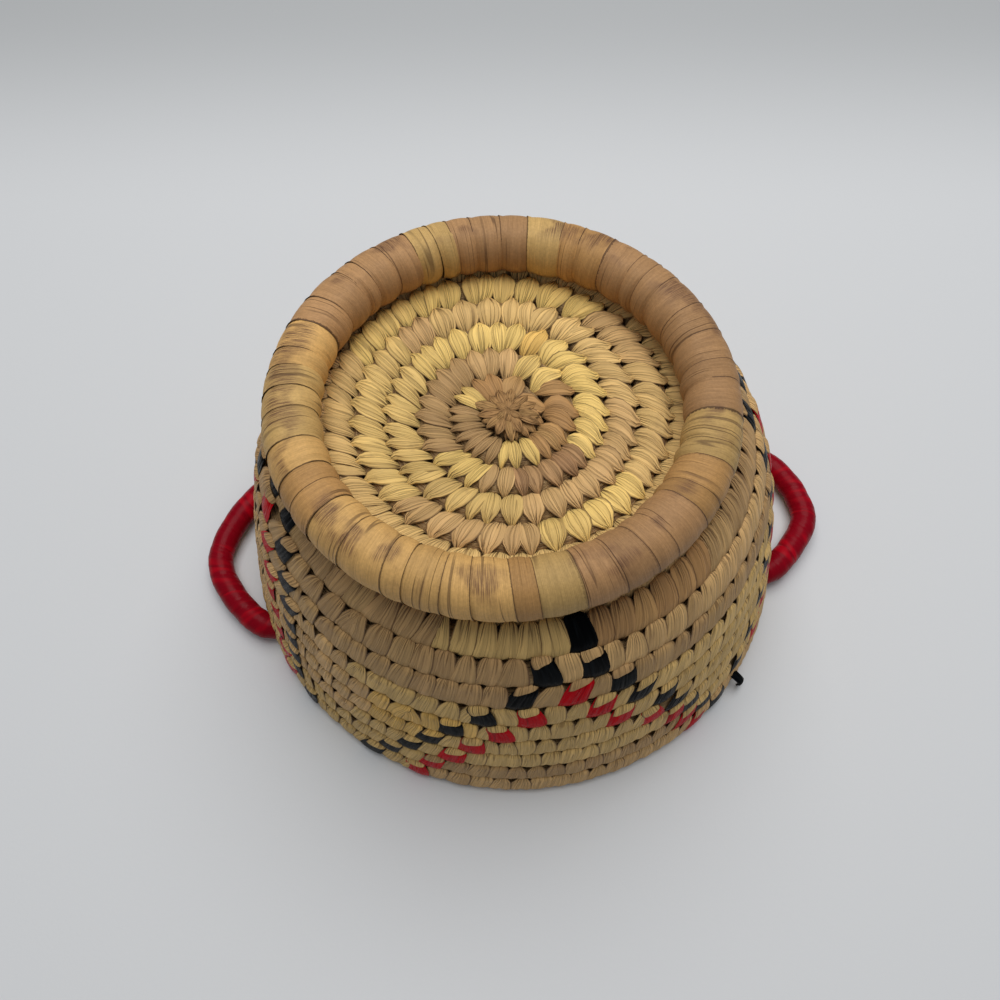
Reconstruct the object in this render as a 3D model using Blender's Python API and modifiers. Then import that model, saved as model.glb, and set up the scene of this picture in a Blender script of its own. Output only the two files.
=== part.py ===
"""Coiled basket with a foot ring and two loop handles, standing upside down on its rim.

One foundation bundle winds out from the middle of the base, turns over the shoulder and
winds down the wall to the rim. Coloured sewing strips mark a zigzag on the wall, a leaf
wrapped ring is the foot, and two ribbon wrapped loops are the handles.
Metres, +Z up. The rim lies on z = 0 and the wall's axis is x = y = 0.
"""
import math

import bmesh
import bpy
from mathutils import Vector

# Foundation coil
COIL_DIAMETER = 0.0081
TURN_PITCH = 0.0090
TURNS = 15.5
FIRST_TURN = 0.4
POINTS_PER_TURN = 24
COIL_START_AZIMUTH = 90.0
STEP_FADE_TURNS = 4.0
START_THINNING = 0.45
TAIL_DIAMETER = 0.0022
LEAST_TURN_GAP = 0.0005
# Share of the bundle's radius that is cut flat where the rim rests
FLOOR_CUT = 0.2

# Section through base, shoulder and wall, followed by the middle of the coil
BASE_RADIUS = 0.052
DISH_DEPTH = 0.0024
SHOULDER_LENGTH = 0.014
WALL_FLARE = 12.5
SECTION_STEP = 0.0005
# The base sits this far off the rim's axis, since the basket leans as hand work does
BASE_OFFSET_X = -0.0030
BASE_OFFSET_Y = -0.0030

# Foot ring
RING_RADIUS = 0.0561
RING_DIAMETER = 0.0153
RING_OFFSET_X = -0.0044
RING_OFFSET_Y = -0.0042
RING_WRAPS = 45
RING_CORE_POINTS = 45
RING_WRAP_THICKNESS = 0.0009
RING_SIDES = 10
LEAF_RIDGE = 0.0003
RING_FLAT_DEPTH = 0.0005
RING_SLIT_ANGLE = 16.0

# Handles
HANDLE_DIAMETER = 0.0086
HANDLE_REACH = 0.0186
HANDLE_POINTEDNESS = 1.35
HANDLE_SEAT_GAP = 0.0006
HANDLE_WRAP_THICKNESS = 0.0009
HANDLE_WRAPS = 10
RIBBON_RIDGE = 0.00015
HANDLE_FLOOR_GAP = 0.0004
# Azimuth of each loop's middle and half its width, in degrees
HANDLE_PLACES = {"left": (188.0, 17.5), "right": (2.5, 16.5)}

# Coloured stitches
STITCH_WIDTH = 0.0058
STITCH_THICKNESS = 0.0005
STITCH_ANGLES = (-52.0, -17.0, 17.0, 52.0)
STITCH_SIDE_GAP = 0.0004
STITCH_CLEARANCE = 0.00045
COLUMN_DRIFT = 0.0009
# Turns to each upper point, and how many stitches its left and right lines lean on each row
ZIGZAGS = {
    "left": (6.314, -1.2, 0.5),
    "front": (7.541, -1.15, 1.0),
    "right": (6.768, -1.0, 1.0),
    "back": (7.044, -1.0, 1.0),
}
RED_TURNS_LATER = 1.991
FIRST_PATTERN_ARC = 0.064

# Loose end of a black strip at the rim
LOOSE_END_DIAMETER = 0.0026
LOOSE_END_LENGTH = 0.0060
LOOSE_END_AZIMUTH = 322.0
LOOSE_END_LEAN = 35.0

# Clearance between pieces that touch on the real basket
SEAT_GAP = 0.0003

COIL_RADIUS = COIL_DIAMETER / 2
RING_TUBE_RADIUS = RING_DIAMETER / 2
HANDLE_RADIUS = HANDLE_DIAMETER / 2
ARC_END = TURNS * TURN_PITCH
BASE_OFFSET = Vector((BASE_OFFSET_X, BASE_OFFSET_Y, 0.0))
RING_OFFSET = Vector((RING_OFFSET_X, RING_OFFSET_Y, 0.0))


def arc_at(turns):
    """Distance from the middle of the base along the section, which steps out once a turn."""
    swing = 2 * math.pi * turns
    step = (4 / 3 * math.sin(swing) + 1 / 6 * math.sin(2 * swing)) / (2 * math.pi)
    fade = min(1.0, turns / STEP_FADE_TURNS)
    return TURN_PITCH * (turns + fade * step)


def fall_angle(arc):
    """Angle below the horizontal of the section, in radians."""
    if arc < BASE_RADIUS:
        return -math.atan(2 * DISH_DEPTH * arc / BASE_RADIUS ** 2)
    edge = -math.atan(2 * DISH_DEPTH / BASE_RADIUS)
    wall = math.radians(90 - WALL_FLARE)
    return wall + (edge - wall) * math.exp(-(arc - BASE_RADIUS) / SHOULDER_LENGTH)


def section_table():
    """Radius and depth of the section at even steps of its length."""
    rows = [(0.0, 0.0)]
    for index in range(int(ARC_END / SECTION_STEP) + 2):
        fall = fall_angle((index + 0.5) * SECTION_STEP)
        radius, depth = rows[-1]
        radius += SECTION_STEP * math.cos(fall)
        depth += SECTION_STEP * math.sin(fall)
        rows.append((radius, depth))
    return rows


SECTION = section_table()


def section_at(arc):
    """Radius and depth of the section at one distance along it."""
    place = arc / SECTION_STEP
    index = min(int(place), len(SECTION) - 2)
    share = place - index
    near, far = SECTION[index], SECTION[index + 1]
    return near[0] + share * (far[0] - near[0]), near[1] + share * (far[1] - near[1])


def tube_radius(turns):
    """Half thickness of the bundle: thin at the start, whole, then tapering into the rim."""
    start = START_THINNING + (1 - START_THINNING) * min(1.0, turns)
    if turns < TURNS:
        return COIL_RADIUS * start
    room = (ARC_END - arc_at(turns - 1)) * math.cos(math.radians(WALL_FLARE))
    room -= LEAST_TURN_GAP + FLOOR_CUT * COIL_RADIUS
    return min(COIL_RADIUS, room / (2 - FLOOR_CUT))


def last_turn():
    """Where the tail is as thin as it gets, which ends the coil."""
    turns = TURNS
    while tube_radius(turns) > TAIL_DIAMETER / 2:
        turns += 1 / POINTS_PER_TURN
    return turns


def coil_point(turns):
    """Middle of the bundle after some turns, with the rim's last turn held level."""
    arc = min(arc_at(turns), ARC_END)
    radius, depth = section_at(arc)
    azimuth = math.radians(COIL_START_AZIMUTH + 360 * turns)
    height = (1 - FLOOR_CUT) * COIL_RADIUS + section_at(ARC_END)[1] - depth
    if turns > TURNS:
        height -= (1 - FLOOR_CUT) * (COIL_RADIUS - tube_radius(turns))
    centre = BASE_OFFSET * (1 - arc / ARC_END)
    return centre + Vector((radius * math.cos(azimuth), radius * math.sin(azimuth), height))


def coil_turns():
    """The turn count at each point of the coil, evenly spaced from its start to its tail."""
    count = int(round((last_turn() - FIRST_TURN) * POINTS_PER_TURN))
    return [FIRST_TURN + index / POINTS_PER_TURN for index in range(count + 1)]


COIL_TURNS = coil_turns()
COIL_POINTS = [coil_point(turns) for turns in COIL_TURNS]
COIL_RADII = [tube_radius(turns) for turns in COIL_TURNS]


def on_coil(turns):
    """Middle of the modelled coil, which is straight between its points."""
    place = (turns - FIRST_TURN) * POINTS_PER_TURN
    index = max(0, min(int(place), len(COIL_POINTS) - 2))
    return COIL_POINTS[index].lerp(COIL_POINTS[index + 1], place - index)


def least_self_gap():
    """Least clear distance between points of the coil that lie a third of a turn apart or more."""
    least = 1.0
    for first, point in enumerate(COIL_POINTS):
        for second in range(first + POINTS_PER_TURN // 3, len(COIL_POINTS)):
            apart = (COIL_POINTS[second] - point).length
            least = min(least, apart - COIL_RADII[first] - COIL_RADII[second])
    return least


def material(name, colour, roughness, metallic=0.0):
    """Plain surface in the piece's own colour."""
    made = bpy.data.materials.new(name)
    made.use_nodes = True
    shader = made.node_tree.nodes["Principled BSDF"]
    shader.inputs["Base Color"].default_value = (*colour, 1.0)
    shader.inputs["Roughness"].default_value = roughness
    shader.inputs["Metallic"].default_value = metallic
    return made


def collection(name):
    made = bpy.data.collections.new(name)
    bpy.context.scene.collection.children.link(made)
    return made


def tube(name, points, radii, sides_level, group, cyclic=False, caps=True):
    """Curve with a round bevel whose thickness follows radii."""
    curve = bpy.data.curves.new(name, "CURVE")
    curve.dimensions = "3D"
    curve.twist_mode = "Z_UP"
    curve.bevel_depth = 1.0
    curve.bevel_resolution = sides_level
    curve.use_fill_caps = caps
    line = curve.splines.new("POLY")
    line.points.add(len(points) - 1)
    for spot, point, radius in zip(line.points, points, radii):
        spot.co = (*point, 1.0)
        spot.radius = radius
    line.use_cyclic_u = cyclic
    made = bpy.data.objects.new(name, curve)
    group.objects.link(made)
    return made


def as_mesh(source, group):
    """The curve's surface as a mesh object, with its caps welded on."""
    bpy.context.view_layer.update()
    shown = source.evaluated_get(bpy.context.evaluated_depsgraph_get())
    mesh = bpy.data.meshes.new_from_object(shown)
    shell = bmesh.new()
    shell.from_mesh(mesh)
    bmesh.ops.remove_doubles(shell, verts=shell.verts, dist=0.00001)
    bmesh.ops.recalc_face_normals(shell, faces=shell.faces)
    shell.to_mesh(mesh)
    shell.free()
    name = source.name
    made = bpy.data.objects.new(name + "_mesh", mesh)
    made.matrix_world = source.matrix_world
    bpy.data.objects.remove(source)
    made.name = name
    group.objects.link(made)
    return made


def box_cutter(name, low, high, group):
    """Box that cuts a flat, hidden from the model."""
    shell = bmesh.new()
    bmesh.ops.create_cube(shell, size=1.0)
    middle = (low + high) / 2
    span = high - low
    for vert in shell.verts:
        vert.co = middle + Vector((vert.co.x * span.x, vert.co.y * span.y, vert.co.z * span.z))
    mesh = bpy.data.meshes.new(name)
    shell.to_mesh(mesh)
    shell.free()
    made = bpy.data.objects.new(name, mesh)
    made.hide_render = True
    made.display_type = "WIRE"
    group.objects.link(made)
    return made


def cut(target, cutter):
    made = target.modifiers.new("flat", "BOOLEAN")
    made.operation = "DIFFERENCE"
    made.solver = "EXACT"
    made.object = cutter


def finish(target, surface, smooth=40.0):
    target.data.materials.clear()
    target.data.materials.append(surface)
    target.data.shade_smooth()
    target.data.set_sharp_from_angle(angle=math.radians(smooth))


def build_foundation(parts, cutters):
    """The one long bundle, cut flat where the rim rests."""
    coil = as_mesh(tube("foundation_coil", COIL_POINTS, COIL_RADII, 1, parts), parts)
    reach = section_at(ARC_END)[0] + COIL_DIAMETER
    low = Vector((-reach, -reach, -COIL_DIAMETER))
    cut(coil, box_cutter("floor_cutter", low, Vector((reach, reach, 0.0)), cutters))
    finish(coil, material("split leaf bundle", (0.42, 0.27, 0.13), 0.8))


def section_frame(turns):
    """Outward and along-the-section directions of the wall at one point of the coil."""
    fall = fall_angle(min(arc_at(turns), ARC_END))
    azimuth = math.radians(COIL_START_AZIMUTH + 360 * turns)
    level = Vector((math.cos(azimuth), math.sin(azimuth), 0.0))
    rise = Vector((0.0, 0.0, 1.0))
    outward = level * math.sin(fall) + rise * math.cos(fall)
    onward = level * math.cos(fall) - rise * math.sin(fall)
    return outward, onward


def ring_height():
    """Height of the ring's middle when it lies on the coil, a seat gap above it."""
    height = 0.0
    for index in range(len(COIL_POINTS) - 1):
        for share in (0.0, 0.25, 0.5, 0.75):
            point = COIL_POINTS[index].lerp(COIL_POINTS[index + 1], share)
            off = (point - RING_OFFSET).xy.length - RING_RADIUS
            clear = RING_TUBE_RADIUS + COIL_RADII[index] + SEAT_GAP
            if abs(off) < clear:
                height = max(height, point.z + math.sqrt(clear ** 2 - off ** 2))
    return height


RING_HEIGHT = ring_height()


def ring_middle(azimuth):
    """Middle of the foot ring's tube at one azimuth."""
    angle = math.radians(azimuth)
    reach = Vector((math.cos(angle), math.sin(angle), 0.0)) * RING_RADIUS
    return RING_OFFSET + reach + Vector((0.0, 0.0, RING_HEIGHT))


def build_ring_core(parts):
    """Bundle inside the foot ring, a closed hoop."""
    count = RING_CORE_POINTS
    points = [ring_middle(360 * index / count) for index in range(count)]
    radius = RING_TUBE_RADIUS - LEAF_RIDGE - RING_WRAP_THICKNESS - SEAT_GAP
    hoop = tube("foot_ring_core", points, [radius] * count, 2, parts, cyclic=True)
    finish(as_mesh(hoop, parts), material("ring bundle", (0.45, 0.29, 0.14), 0.8))


def build_ring_wrap(parts, cutters):
    """Leaf strips round the ring, each edge a small ridge, open along a slit underneath."""
    shell = bmesh.new()
    columns = 2 * RING_WRAPS
    grid = bmesh.ops.create_grid(shell, x_segments=columns, y_segments=RING_SIDES, size=1.0)
    for vert in grid["verts"]:
        azimuth = 180 * (vert.co.x + 1)
        column = round((vert.co.x + 1) * columns / 2)
        ridge = 0.0 if column % 2 else LEAF_RIDGE
        sweep = 360 - RING_SLIT_ANGLE
        round_tube = math.radians(-90 + RING_SLIT_ANGLE / 2 + sweep * (vert.co.y + 1) / 2)
        angle = math.radians(azimuth)
        out = Vector((math.cos(angle), math.sin(angle), 0.0))
        across = out * math.cos(round_tube) + Vector((0.0, 0.0, math.sin(round_tube)))
        vert.co = ring_middle(azimuth) + across * (RING_TUBE_RADIUS - ridge)
    bmesh.ops.remove_doubles(shell, verts=shell.verts, dist=0.00001)
    mesh = bpy.data.meshes.new("foot_ring_wrap")
    shell.to_mesh(mesh)
    shell.free()
    wrap = bpy.data.objects.new("foot_ring_wrap", mesh)
    parts.objects.link(wrap)
    thick = wrap.modifiers.new("leaf", "SOLIDIFY")
    thick.thickness = RING_WRAP_THICKNESS
    thick.offset = -1.0
    reach = RING_RADIUS + RING_DIAMETER
    top = RING_HEIGHT + RING_TUBE_RADIUS
    low = RING_OFFSET + Vector((-reach, -reach, top - RING_FLAT_DEPTH))
    high = RING_OFFSET + Vector((reach, reach, top + RING_DIAMETER))
    cut(wrap, box_cutter("foot_cutter", low, high, cutters))
    finish(wrap, material("leaf strip", (0.52, 0.33, 0.14), 0.45))


def rim_reach(azimuth, piece_width):
    """How far the rim turn's middle stands out, at most, behind a piece of that width."""
    angle = math.radians(azimuth)
    ahead = Vector((math.cos(angle), math.sin(angle), 0.0))
    first = TURNS - 0.5
    turns = first + ((azimuth - COIL_START_AZIMUTH) / 360 - first) % 1.0
    width = piece_width / (2 * math.pi * section_at(ARC_END)[0])
    spots = [on_coil(turns + width * (share / 8 - 0.5)) for share in range(9)]
    return max(spot.dot(ahead) for spot in spots)


def handle_route(side):
    """Points of one loop: it leaves the rim squarely, runs along it and comes back."""
    middle, half = HANDLE_PLACES[side]
    height = HANDLE_RADIUS + HANDLE_FLOOR_GAP
    count = 3 * HANDLE_WRAPS
    first_foot = rim_reach(middle + half, HANDLE_DIAMETER)
    last_foot = rim_reach(middle - half, HANDLE_DIAMETER)
    route = []
    for index in range(count + 1):
        turn = math.pi * index / count
        away = max(0.0, math.sin(turn)) ** HANDLE_POINTEDNESS
        azimuth = middle + half * math.cos(turn)
        foot = first_foot + (last_foot - first_foot) * index / count
        reach = foot + COIL_RADIUS + HANDLE_SEAT_GAP + (HANDLE_REACH - HANDLE_RADIUS) * away
        angle = math.radians(azimuth)
        route.append(Vector((reach * math.cos(angle), reach * math.sin(angle), height)))
    return route


def build_handle(side, parts):
    """Bundle core and the ribbon sleeve wound on it."""
    route = handle_route(side)
    core_radius = HANDLE_RADIUS - HANDLE_WRAP_THICKNESS - RIBBON_RIDGE - SEAT_GAP
    core = tube(side + "_handle_core", route, [core_radius] * len(route), 2, parts)
    finish(as_mesh(core, parts), material(side + " handle bundle", (0.42, 0.27, 0.13), 0.8))
    radii = [HANDLE_RADIUS] * len(route)
    for index in range(0, len(route), 3):
        radii[index] -= RIBBON_RIDGE
    sleeve = as_mesh(tube(side + "_handle_wrap", route, radii, 2, parts, caps=False), parts)
    thick = sleeve.modifiers.new("ribbon", "SOLIDIFY")
    thick.thickness = HANDLE_WRAP_THICKNESS
    thick.offset = -1.0
    finish(sleeve, material(side + " red ribbon", (0.28, 0.006, 0.015), 0.25))


def leaning_line(turns, lean):
    """Turn counts of the stitches of one leaning line, a row apart, down to the rim."""
    line = []
    while arc_at(turns) < ARC_END + TURN_PITCH / 4:
        if stitch_is_clear(turns):
            line.append(turns)
        radius = section_at(min(arc_at(turns), ARC_END))[0]
        sideways = lean * STITCH_WIDTH - COLUMN_DRIFT
        turns += 1 + sideways / (2 * math.pi * radius)
    return line


def stitch_is_clear(turns):
    """Whether a strip lies outside the foot ring and beside the handles' ends."""
    if arc_at(turns) < FIRST_PATTERN_ARC:
        return False
    if arc_at(turns) < ARC_END - TURN_PITCH / 2:
        return True
    azimuth = COIL_START_AZIMUTH + 360 * turns
    width = math.degrees((STITCH_WIDTH + HANDLE_DIAMETER) / 2 / on_coil(turns).xy.length)
    for middle, half in HANDLE_PLACES.values():
        off = abs((azimuth - middle + 180) % 360 - 180)
        if abs(off - half) < width:
            return False
    return tube_radius(turns) > 0.9 * COIL_RADIUS


def build_zigzag(name, line, surface, parts):
    """One strip that covers a stitch on each row and slants across the groove to the next."""
    shell = bmesh.new()
    stops = len(STITCH_ANGLES)
    grid = bmesh.ops.create_grid(shell, x_segments=1, y_segments=stops * len(line) - 1, size=1.0)
    for vert in grid["verts"]:
        place = round((vert.co.y + 1) / 2 * (stops * len(line) - 1))
        turns = line[place // stops]
        angle = math.radians(STITCH_ANGLES[place % stops])
        half = (STITCH_WIDTH - STITCH_SIDE_GAP) / 2 / (2 * math.pi * on_coil(turns).xy.length)
        outward, onward = section_frame(turns)
        across = outward * math.cos(angle) + onward * math.sin(angle)
        reach = tube_radius(turns) + STITCH_CLEARANCE
        vert.co = on_coil(turns + half * vert.co.x) + across * reach
    mesh = bpy.data.meshes.new(name)
    shell.to_mesh(mesh)
    shell.free()
    made = bpy.data.objects.new(name, mesh)
    parts.objects.link(made)
    thick = made.modifiers.new("strip", "SOLIDIFY")
    thick.thickness = STITCH_THICKNESS
    thick.offset = -1.0
    finish(made, surface)


def free_part(line, taken):
    """The rows of a line above the one where it would run into a line already made."""
    for count, turns in enumerate(line):
        room = (STITCH_WIDTH + STITCH_SIDE_GAP) / (2 * math.pi * on_coil(turns).xy.length)
        if any(abs(turns - other) < room for other in taken):
            return line[:count]
    return line


def build_pattern(parts):
    """The dark zigzag and its red echo, two leaning lines from each upper point."""
    black = material("black strip", (0.012, 0.014, 0.018), 0.3)
    red = material("red strip", (0.45, 0.006, 0.012), 0.3)
    taken = []
    for place, (apex, left_lean, right_lean) in ZIGZAGS.items():
        for colour, surface, top in (("black", black, apex), ("red", red, apex + RED_TURNS_LATER)):
            for side, lean in (("left", left_lean), ("right", right_lean)):
                line = leaning_line(top, lean)
                if side == "right":
                    line = [turns for turns in line if turns > top + 0.5]
                line = free_part(line, taken)
                taken.extend(line)
                build_zigzag("%s_zigzag_%s_%s" % (colour, place, side), line, surface, parts)


def build_loose_end(parts):
    """Stub of a black strip that stands off the rim turn, leaning down and out."""
    angle = math.radians(LOOSE_END_AZIMUTH)
    out = Vector((math.cos(angle), math.sin(angle), 0.0))
    radius = LOOSE_END_DIAMETER / 2
    lean = math.radians(LOOSE_END_LEAN)
    foot = rim_reach(LOOSE_END_AZIMUTH, LOOSE_END_DIAMETER) + COIL_RADIUS + radius + SEAT_GAP
    points = []
    for share in (0.0, 0.25, 0.5, 0.75, 1.0):
        away = share * LOOSE_END_LENGTH
        reach = foot + away * math.sin(lean) * share
        height = radius + (LOOSE_END_LENGTH - away) * math.cos(lean)
        points.append(out * reach + Vector((0.0, 0.0, height)))
    radii = [radius * share for share in (0.6, 0.8, 1.0, 1.0, 0.7)]
    stub = as_mesh(tube("black_loose_end", points, radii, 1, parts), parts)
    finish(stub, material("black strip end", (0.012, 0.014, 0.018), 0.3))


def main():
    for old in list(bpy.data.objects):
        bpy.data.objects.remove(old)
    parts = collection("coiled_basket")
    cutters = collection("cutters")
    build_foundation(parts, cutters)
    build_ring_core(parts)
    build_ring_wrap(parts, cutters)
    for side in HANDLE_PLACES:
        build_handle(side, parts)
    build_pattern(parts)
    build_loose_end(parts)
    print("least gap of the coil to itself %.2f mm" % (least_self_gap() * 1000))
    print("turns to the tail %.2f" % COIL_TURNS[-1])


if __name__ == "__main__":
    main()
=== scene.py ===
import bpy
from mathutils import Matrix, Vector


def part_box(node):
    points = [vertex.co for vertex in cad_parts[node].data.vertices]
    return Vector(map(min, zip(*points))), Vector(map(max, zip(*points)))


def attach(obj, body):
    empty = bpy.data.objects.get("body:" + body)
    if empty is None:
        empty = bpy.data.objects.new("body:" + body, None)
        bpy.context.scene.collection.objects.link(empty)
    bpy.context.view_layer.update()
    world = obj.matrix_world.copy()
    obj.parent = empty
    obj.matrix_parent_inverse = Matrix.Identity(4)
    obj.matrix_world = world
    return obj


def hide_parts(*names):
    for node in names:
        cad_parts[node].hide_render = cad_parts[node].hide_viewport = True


bl_info = {
    "name": "Coiled Basket",
    "version": (1, 0, 0),
    "blender": (4, 5, 0),
    "location": "View3D > Sidebar > Basket",
    "description": "Sews, wraps and lights an upturned coiled basket on its packed model",
    "category": "Object",
}

import math
import random
from collections import namedtuple

import bmesh
import bpy
import numpy as np

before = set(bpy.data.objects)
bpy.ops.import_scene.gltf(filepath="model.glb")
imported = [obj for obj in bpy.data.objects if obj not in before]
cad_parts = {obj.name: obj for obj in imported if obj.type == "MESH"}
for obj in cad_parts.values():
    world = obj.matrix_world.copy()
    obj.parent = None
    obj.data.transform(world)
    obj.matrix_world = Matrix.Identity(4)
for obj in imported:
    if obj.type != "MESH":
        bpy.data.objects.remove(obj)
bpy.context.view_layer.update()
RISE = np.array((0.0, 0.0, 1.0))
chance = random.Random(41)

# The coil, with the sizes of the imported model
COIL_RADIUS = 0.00405
TURN_PITCH = 0.0090
TURNS = 15.5
FIRST_TURN = 0.15
LAST_TURN = 16.05
START_AZIMUTH = 90.0
STEP_FADE_TURNS = 4.0
START_THINNING = 0.45
LEAST_TURN_GAP = 0.0005
LEAST_TAIL_RADIUS = 0.0008
FLOOR_CUT = 0.2
BASE_RADIUS = 0.052
DISH_DEPTH = 0.0024
SHOULDER_LENGTH = 0.014
WALL_FLARE = 12.5
SECTION_STEP = 0.0005
BASE_OFFSET = np.array((-0.0030, -0.0030, 0.0))
ARC_END = TURNS * TURN_PITCH

# The bundle that shows between the stitches. It ends a share of a turn early, under its last stitch.
BUNDLE_POINTS_A_TURN = 84
BUNDLE_FULLNESS = 1.015
BUNDLE_BREADTH = 1.02
BUNDLE_ROUNDNESS = 0.9
# Lumps as shares of its thickness, with their waves round the bundle and along a turn
BUNDLE_LUMPS = ((0.03, 3, 40), (0.02, 0, 97))
BARE_TAIL = 0.018
BUNDLE_TURNS = LAST_TURN - BARE_TAIL - FIRST_TURN
BUNDLE_FLOOR_GAP = 0.0001
TUBE_SIDES = 12

# The turns up to which the stitches belong to the base, and to the upper wall
BASE_TURNS = 6.2
UPPER_TURNS = 11.5
# Path of one sewing strip round the bundle in millimetres from the bundle's middle:
# towards the next row, and outwards. It starts tucked into the row before.
WALL_PATH = (
    (-6.6, 2.8), (-6.25, 3.75), (-5.3, 4.15), (-3.9, 4.2), (-2.0, 4.2), (0.0, 4.2), (2.0, 3.7),
    (3.5, 2.4), (4.15, 0.4), (3.7, -1.9), (1.9, -3.7), (-1.4, -4.15), (-5.4, -3.1),
)
BASE_PATH = (
    (-6.2, 0.9), (-5.6, 1.7), (-4.9, 2.4), (-3.8, 3.2), (-2.0, 4.05), (0.0, 4.4), (2.0, 4.2),
    (3.4, 3.7), (4.8, 3.0), (5.2, 1.6), (1.9, -3.7), (-1.4, -4.15), (-5.4, -3.1),
)
# Width of the strip at each point of its path. On the base it is drawn in where it is tucked and where
# the next row pinches it; on the wall it mostly keeps its width, or spreads like a fan or a wedge.
BASE_SHARES = (0.30, 0.52, 0.74, 0.98, 1.14, 1.14, 0.92, 0.58, 0.22, 0.05, 0.90, 0.94, 0.40)
WALL_SHARES = (0.60, 0.82, 0.96, 1.02, 1.06, 1.10, 1.08, 0.99, 0.93, 0.92, 0.95, 0.90, 0.50)
FAN_SHARES = (0.32, 0.52, 0.74, 0.90, 1.02, 1.14, 1.20, 1.16, 1.06, 1.00, 0.95, 0.90, 0.50)
WEDGE_SHARES = (0.80, 1.00, 1.10, 1.14, 1.12, 1.06, 0.94, 0.80, 0.70, 0.75, 0.85, 0.90, 0.50)
# Kinds of stitch: their shares, and where a fold runs along them
BASE_KINDS = ((BASE_SHARES, None), (BASE_SHARES, -0.1), (BASE_SHARES, 0.1))
WALL_KINDS = ((WALL_SHARES, None), (WALL_SHARES, -0.1), (FAN_SHARES, 0.1), (WEDGE_SHARES, None))
# Width of a strip in the knot that the coil starts from, and of a beige end over a coloured stitch
PETAL_SHARES = (0.30, 0.62, 0.86, 1.0, 1.02, 0.96, 0.80, 0.52, 0.12)
TONGUE_SHARES = (0.48, 0.70, 0.88, 0.98, 1.0, 0.98, 0.92)
# Steps of a strip's crown: what lies this near its middle goes up by this much
STITCH_CROWN = ((0.35, 0.00030), (0.15, 0.00010))
TONGUE_CROWN = ((0.35, 0.00030), (0.15, 0.00012))
BAND_CROWN = ((0.48, 0.00016), (0.30, 0.00016), (0.15, 0.00008))
STRIP_STEPS = 5
FOLD_DEPTH = 0.00034
TONGUE_PATTERN_SHARE = 0.25
# Past this place a point is at a strip's end, and within this distance it is on a line
END = 0.49
NEAR = 0.01
LEADING_EDGE = 0.44
# The tucked end is rounded: past each place, what lies outside a share of its width is moved back
ROUNDED_END = ((END, 0.15, 0.020), (0.40, 0.45, 0.018))
TONGUE_TRIM = 0.05
TONGUE_MIDDLE = 0.15
TONGUE_NICKS = (1, 4)

# How far the strip strays along the coil at each point of its path, as shares of its lean
PATH_SWING = (1.0, 0.95, 0.78, 0.5, 0.2, -0.15, -0.55, -0.95, -1.0, -0.8, -0.5, -0.3, -0.2)
# Lean of a stitch from its middle to either end in millimetres, at a few azimuths
BASE_LEANS = ((0, 3.4), (40, 3.2), (62, 1.8), (90, 0.4), (125, 0.7), (165, 2.2), (190, 2.6), (215, 2.3),
              (241, 1.8), (258, 0.9), (275, 0.1), (300, -0.2), (318, 0.6), (338, 2.2), (360, 3.4))
WALL_LEANS = ((0, 2.4), (60, 1.6), (120, 1.2), (200, 1.6), (240, 1.3), (270, 0.7), (295, 0.9),
              (325, 2.0), (360, 2.4))
LEAN_SCATTER = (-0.0003, 0.0003)
FULL_LEAN_TURNS = 2.5
# Where a strip leaves its own row for the one before, over what distance, and how far it reaches
# into that row at some of the first turns
ROW_EDGE = -0.0025
ROW_CHANGE = 0.0035
ROW_REACH = ((0.4, 0.2), (1.5, 1.0))
LEAST_TURN = 0.02
LEAST_ROW_RADIUS = 0.003
# Usual width of a stitch at some turns, as shares of the base and of the wall stitch
BASE_WIDTHS = ((0.3, 0.42), (1.0, 0.48), (1.9, 0.66), (2.9, 0.76), (3.9, 0.82), (4.9, 0.86))
WALL_WIDTHS = ((6.6, 1.0), (8.0, 1.08), (10.5, 1.08), (11.5, 1.0))
STEP_SCATTER = (0.93, 1.07)
# A stitch is pulled a share of the way to a gap in the row before, if that is near enough, and may
# lean more or less to start in it, both in shares of a stitch. Gaps are looked for in shares of a turn.
PULL = 0.65
PULL_REACH = 0.50
LEAN_FREEDOM = 0.4
GAP_SEARCH = 0.4
GAP_REACH = 0.2
# Coloured stitches keep their place, and the ones before share the room from this many steps away
ROOM_TO_SHARE = 2.6
LEAST_STEP_AFTER_FIRST = 0.9
SEWN_TO_THE_END = 0.01
# Ranges that each stitch draws its own values from
BREADTHS = (0.96, 1.06)
TILTS = (-0.0001, 0.0005)
LIFTS = (-0.00005, 0.00015)
SKEWS = (-0.045, 0.045)
COLOURED_BREADTHS = (0.94, 1.06)
COLOURED_LIFT = 0.00034
TONGUE_BREADTH = 0.86
TONGUE_LIFT = 0.00025
TONGUE_LENGTHS = (0.165, 0.22)
TONGUE_SKEW = -0.09
TONGUE_SKEWS = (-0.04, 0.04)

# Knot of two layers of petals: their number, angle from one to the next and its stray, and the ranges
# of each petal's start, length, width and height
PETAL_LAYERS = (
    (14, 0.4488, 0.16, (0.0012, 0.0030), (0.0054, 0.0080), (0.0026, 0.0036), (0.0041, 0.0046)),
    (10, 2.4, 0.48, (-0.0012, 0.0008), (0.0036, 0.0060), (0.0018, 0.0027), (0.0045, 0.0051)),
)
PETAL_LIFT = 0.0002
PETAL_DROOP = 0.0013
PETAL_TOP = 0.3
KNOT_TURN = 0.5

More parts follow.
